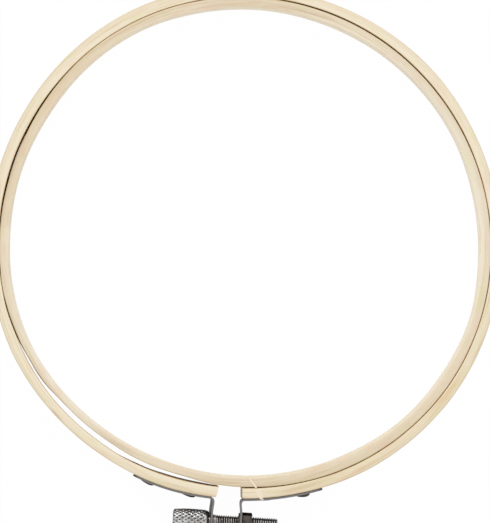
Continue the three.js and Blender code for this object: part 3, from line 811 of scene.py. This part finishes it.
OUTER_WOOD = bamboo(
    "outer_bamboo",
    ((OUTER_INSIDE, srgb(244, 233, 208)), (OUTER_OUTSIDE, srgb(236, 222, 195))), -1.0,
    # Painted shade on the rim wall and its edges
    (0.87, 0.84, 0.78, 1.0), 5.0,
    [(-62, 42, (0.965, 0.94, 0.885, 1.0)), (-122, 22, (0.985, 0.98, 0.96, 1.0)),
     (168, 28, (0.985, 0.975, 0.965, 1.0))],
    [(-33, 9, 77.6 * MM, 1.6 * MM, srgb(222, 190, 134), 0.8),
     (-72, 16, 76.8 * MM, 1.8 * MM, srgb(204, 182, 134), 0.6),
     (-102, 9, 77.4 * MM, 1.6 * MM, srgb(212, 192, 148), 0.5),
     (-134, 3, 77.85 * MM, 0.4 * MM, srgb(168, 142, 98), 0.8)])
END_GRAIN = end_grain()
BRACKET_STEEL = steel(
    "bracket_steel", srgb(114, 110, 109), srgb(88, 84, 82), 0.5, 0.6, wear_and_highlight=srgb(144, 141, 139))
RIVET_STEEL = steel(
    "rivet_steel", srgb(100, 93, 88), srgb(64, 59, 56), 0.4, 0.2, wear_and_highlight=srgb(116, 110, 106))
# The screw's darkest colour is painted shade for its grooves
SCREW_STEEL = steel(
    "screw_steel", srgb(226, 225, 224), srgb(162, 160, 158), 0.25, 0.4, groove_shade=srgb(62, 58, 54))
# The nut's near-white edge colour is a painted highlight on its broken edges
NUT_STEEL = steel(
    "nut_steel", srgb(94, 86, 81), srgb(70, 64, 60), 0.5, 0.2, wear_and_highlight=srgb(228, 219, 211))
GLUE = dried_glue()

inner_ring.data.materials.append(INNER_WOOD)
for half in outer_halves:
    half.data.materials.append(OUTER_WOOD)
    half.data.materials.append(END_GRAIN)
    for face in half.data.polygons:
        if len(face.vertices) > 4:
            face.material_index = 1
for piece in clamp:
    if "bracket" in piece.name:
        piece.data.materials.append(BRACKET_STEEL)
    elif "rivet" in piece.name:
        piece.data.materials.append(RIVET_STEEL)
    else:
        piece.data.materials.append(NUT_STEEL)
screw.data.materials.append(SCREW_STEEL)
make_glue("glue_on_inner", GLUE_ON_INNER, 0.3, "inner_hoop", RING_HEIGHT)
make_glue("glue_on_outer", GLUE_ON_OUTER, 0.06, "outer_hoop", RING_HEIGHT)
make_glue("glue_spine", GLUE_SPINE, 0.3, "outer_hoop", RING_HEIGHT + 0.06 * MM)
make_glue("glue_on_strap", GLUE_ON_STRAP, 0.1, "outer_hoop", STRAP_TOP)

# The right half of the outer ring rides with the outer hoop; the left half stays where it was
# built

right_half, left_half = outer_halves
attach(right_half, "outer_hoop")
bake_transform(left_half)

# Stage

FLOOR_WHITENESS = 0.98
WORLD_LIGHT = 0.84


def make_floor():
    """A pale floor, nearly plain white to the camera, with the hoop's soft shadow left in."""
    reach = 3.0
    floor = mesh_object(
        "floor",
        [(-reach, -reach, 0), (reach, -reach, 0), (reach, reach, 0), (-reach, reach, 0)],
        [(0, 1, 2, 3)])
    floor.location.z = -0.02 * MM
    nodes = Nodes("floor_white")
    tree = nodes.tree
    nodes.finish(Base_Color=(0.92, 0.92, 0.92, 1.0), Roughness=0.9)
    nodes.shader.inputs["Specular IOR Level"].default_value = 0.0
    glow = tree.nodes.new("ShaderNodeEmission")
    glow.inputs["Color"].default_value = (1, 1, 1, 1)
    glow.inputs["Strength"].default_value = 1.0
    light_path = tree.nodes.new("ShaderNodeLightPath")
    seen = nodes.math("MAXIMUM", light_path.outputs["Is Camera Ray"],
                      light_path.outputs["Is Glossy Ray"])
    share = nodes.math("MULTIPLY", seen, FLOOR_WHITENESS)
    mixed = tree.nodes.new("ShaderNodeMixShader")
    nodes.put(mixed.inputs[0], share)
    nodes.put(mixed.inputs[1], nodes.shader.outputs[0])
    nodes.put(mixed.inputs[2], glow.outputs[0])
    nodes.put(tree.nodes["Material Output"].inputs["Surface"], mixed.outputs[0])
    floor.data.materials.append(nodes.material)


def make_world():
    """Even studio light, with plain white behind for the camera."""
    world = bpy.data.worlds.new("studio")
    bpy.context.scene.world = world
    world.use_nodes = True
    tree = world.node_tree
    background = tree.nodes["Background"]
    background.inputs["Color"].default_value = (1.0, 1.0, 1.0, 1.0)
    background.inputs["Strength"].default_value = WORLD_LIGHT
    white = tree.nodes.new("ShaderNodeBackground")
    white.inputs["Color"].default_value = (1, 1, 1, 1)
    white.inputs["Strength"].default_value = 1.0
    light_path = tree.nodes.new("ShaderNodeLightPath")
    mixed = tree.nodes.new("ShaderNodeMixShader")
    tree.links.new(light_path.outputs["Is Camera Ray"], mixed.inputs[0])
    tree.links.new(background.outputs[0], mixed.inputs[1])
    tree.links.new(white.outputs[0], mixed.inputs[2])
    tree.links.new(mixed.outputs[0], tree.nodes["World Output"].inputs["Surface"])


def area_light(name, place, size, share):
    """A soft lamp whose light on a surface facing it is this share of plain full light."""
    lamp = bpy.data.lights.new(name, "AREA")
    lamp.shape = "DISK"
    lamp.size = size
    away = Vector(place)
    lamp.energy = share * math.pi ** 2 * away.length_squared
    lamp_object = bpy.data.objects.new(name, lamp)
    lamp_object.location = place
    lamp_object.rotation_euler = away.to_track_quat("Z", "Y").to_euler()
    bpy.context.scene.collection.objects.link(lamp_object)


make_floor()
make_world()
area_light("key", place=(-0.3, 1.15, 0.95), size=0.5, share=0.2)
area_light("fill", place=(0.9, -0.3, 1.1), size=0.9, share=0.03)

# Camera: straight above, with the photograph's small turn and lean

PHOTO_WIDTH, PHOTO_HEIGHT = 490, 523
PIXEL_SIZE = 0.306 * MM
RING_MIDDLE_PIXEL = (244.45, 242.75)
PHOTO_TURN = math.radians(3.6)
CAMERA_HEIGHT = 1.2
CAMERA_LEAN = Vector((-0.023, -0.008))
SENSOR = 36.0


def make_camera():
    """The camera sees the rings' upper face at PIXEL_SIZE, with their middle at its pixel."""
    camera = bpy.data.cameras.new("photo_camera")
    camera.sensor_width = SENSOR
    camera.lens = CAMERA_HEIGHT / PIXEL_SIZE / PHOTO_HEIGHT * SENSOR
    camera.clip_end = 20.0
    right = (PHOTO_WIDTH / 2 - RING_MIDDLE_PIXEL[0]) * PIXEL_SIZE
    down = (PHOTO_HEIGHT / 2 - RING_MIDDLE_PIXEL[1]) * PIXEL_SIZE
    turn = Matrix.Rotation(PHOTO_TURN, 3, "Z")
    aim = MIDDLE + turn @ Vector((right, -down, 0)) + Vector((0, 0, RING_HEIGHT))
    place = aim + turn @ Vector((CAMERA_LEAN.x, CAMERA_LEAN.y, CAMERA_HEIGHT))
    back = (place - aim).normalized()
    up = turn @ Vector((0, 1, 0))
    side = up.cross(back).normalized()
    up = back.cross(side)
    rotation = Matrix((side, up, back)).transposed()
    camera_object = bpy.data.objects.new("photo_camera", camera)
    camera_object.matrix_world = Matrix.Translation(place) @ rotation.to_4x4()
    bpy.context.scene.collection.objects.link(camera_object)
    bpy.context.scene.camera = camera_object


make_camera()
bpy.context.scene.view_settings.view_transform = "Standard"
